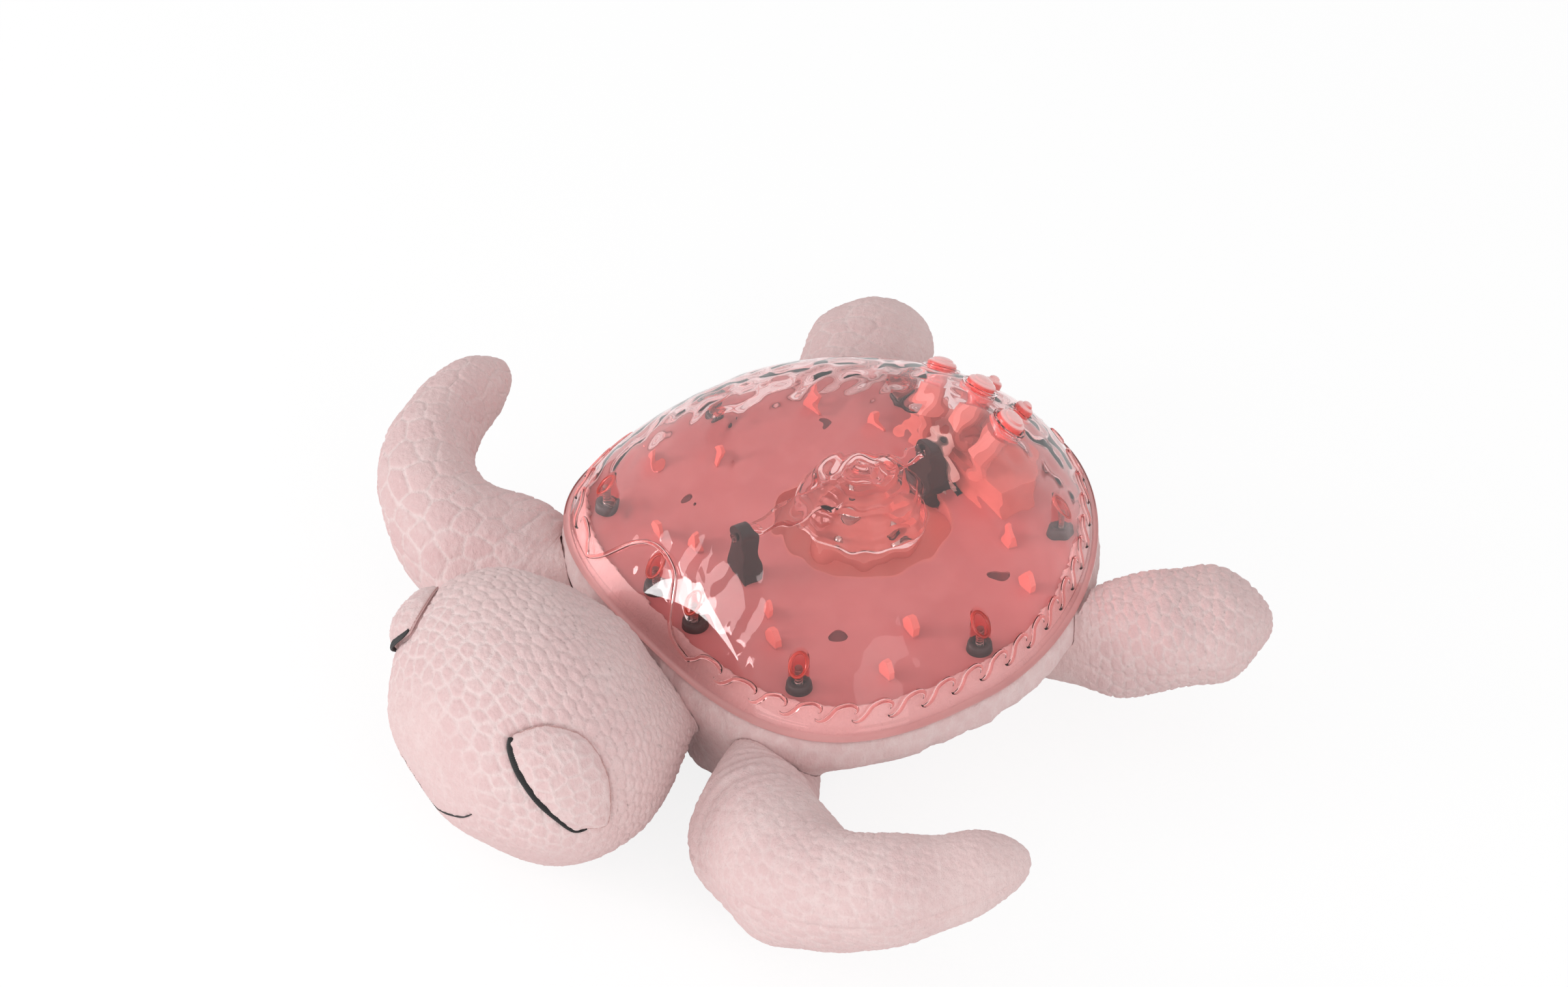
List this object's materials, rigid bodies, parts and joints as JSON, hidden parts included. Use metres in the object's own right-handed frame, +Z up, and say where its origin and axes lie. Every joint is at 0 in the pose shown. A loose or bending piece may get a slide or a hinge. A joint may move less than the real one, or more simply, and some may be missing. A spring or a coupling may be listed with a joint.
{
  "type": "plush turtle night light",
  "caption": "Stuffed turtle with a clear domed projector shell: a rocking wave lens over lamps, push buttons on the shell's rear and a battery door in the hard foot.",
  "frame": {"origin": "on the floor under the middle of the whole toy", "axes": "+Z up, -Y the way the turtle looks, +X the turtle's left side"},
  "size_m": [0.3618, 0.3203, 0.129],
  "materials": {
    "plush": "short pale pink pile",
    "clear_shell": "clear tinted, polished",
    "clear_lens": "clear, rippled",
    "coral_plate": "satin moulded",
    "housing": "satin moulded",
    "black_post": "satin moulded",
    "button": "smooth",
    "gear": "natural acetal",
    "screw": "plated",
    "motor_can": "drawn can",
    "board": "solder mask",
    "lamp": "clear resin",
    "dark_parts": "moulded",
    "cell": "plain wrap",
    "contact": "nickel plated"
  },
  "bodies": {
    "turtle": {"plush_body": "plush", "plush_head": "plush", "eyelid_left": "plush", "eyelid_right": "plush", "front_flipper_left": "plush", "front_flipper_right": "plush", "rear_flipper_left": "plush", "rear_flipper_right": "plush", "shell_dome": "clear_shell", "dome_screws": "screw", "base_plate": "coral_plate", "base_housing": "housing", "housing_screws": "screw", "bearing_post_front": "black_post", "bearing_post_rear": "black_post", "motor": "motor_can", "motor_bracket": "gear", "led_board": "board", "leds": "lamp", "button_tower": "coral_plate", "switches": "dark_parts", "control_board": "board", "speaker": "dark_parts", "battery_cells": "cell", "battery_contacts": "contact"},
    "lens": {"wave_lens": "clear_lens", "sector_gear": "gear"},
    "pinion": {"drive_pinion": "gear"},
    "door": {"battery_door": "housing", "door_screw": "screw"},
    "button_left_body": {"button_left": "button"},
    "button_center_body": {"button_center": "button"},
    "button_right_body": {"button_right": "button"},
    "small_button_left_body": {"small_button_left": "button"},
    "small_button_right_body": {"small_button_right": "button"}
  },
  "joints": [
    {"name": "lens_rock", "type": "hinge", "parent": "turtle", "child": "lens", "pos_m": [0, 0.048, 0.094], "axis": [0, 1, 0], "range_deg": [-10, 10]},
    {"name": "pinion_turn", "type": "hinge", "parent": "turtle", "child": "pinion", "pos_m": [0, 0.09, 0.074], "axis": [0, 1, 0], "range_deg": [-31, 31]},
    {"name": "door_hinge", "type": "hinge", "parent": "turtle", "child": "door", "pos_m": [0, 0.00575, 0.00175], "axis": [-1, 0, 0], "range_deg": [0, 40]},
    {"name": "button_left_press", "type": "slide", "parent": "turtle", "child": "button_left_body", "axis": [0.3049, 0.5302, 0.7911], "range_m": [-0.0012, 0], "stiffness_N_per_m": 300},
    {"name": "button_center_press", "type": "slide", "parent": "turtle", "child": "button_center_body", "axis": [0, 0.542, 0.8404], "range_m": [-0.0012, 0], "stiffness_N_per_m": 300},
    {"name": "button_right_press", "type": "slide", "parent": "turtle", "child": "button_right_body", "axis": [-0.3049, 0.5302, 0.7911], "range_m": [-0.0012, 0], "stiffness_N_per_m": 300},
    {"name": "small_button_left_press", "type": "slide", "parent": "turtle", "child": "small_button_left_body", "axis": [0.1867, 0.67, 0.7185], "range_m": [-0.0012, 0], "stiffness_N_per_m": 300},
    {"name": "small_button_right_press", "type": "slide", "parent": "turtle", "child": "small_button_right_body", "axis": [-0.1867, 0.67, 0.7185], "range_m": [-0.0012, 0], "stiffness_N_per_m": 300}
  ],
  "couplings": [
    {"joint": "pinion_turn", "follows": "lens_rock", "ratio": -3}
  ]
}
